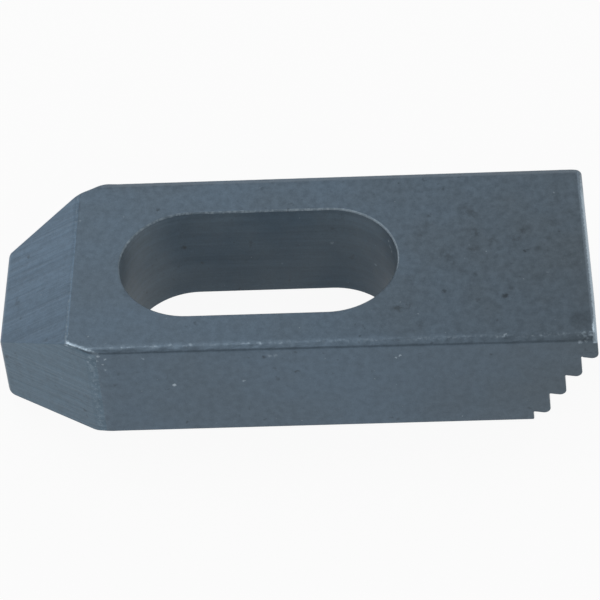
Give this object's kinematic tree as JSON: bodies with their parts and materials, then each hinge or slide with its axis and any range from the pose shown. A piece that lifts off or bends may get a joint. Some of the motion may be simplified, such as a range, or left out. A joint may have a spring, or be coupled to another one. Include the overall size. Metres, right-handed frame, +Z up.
{
  "type": "step clamp",
  "caption": "Slotted steel strap clamp with a tapered, sloping nose, a long stud slot and a serrated heel that sets its height on a step block.",
  "frame": {"origin": "middle of the flat underside, at the centre of the clamp's bounding box in plan", "axes": "+Y from the nose to the serrated heel, +Z up through the stud slot, +X across the clamp"},
  "size_m": [0.0254, 0.0635, 0.0127],
  "materials": {
    "steel": "satin"
  },
  "bodies": {
    "root": {"step_clamp": "steel"}
  },
  "joints": []
}
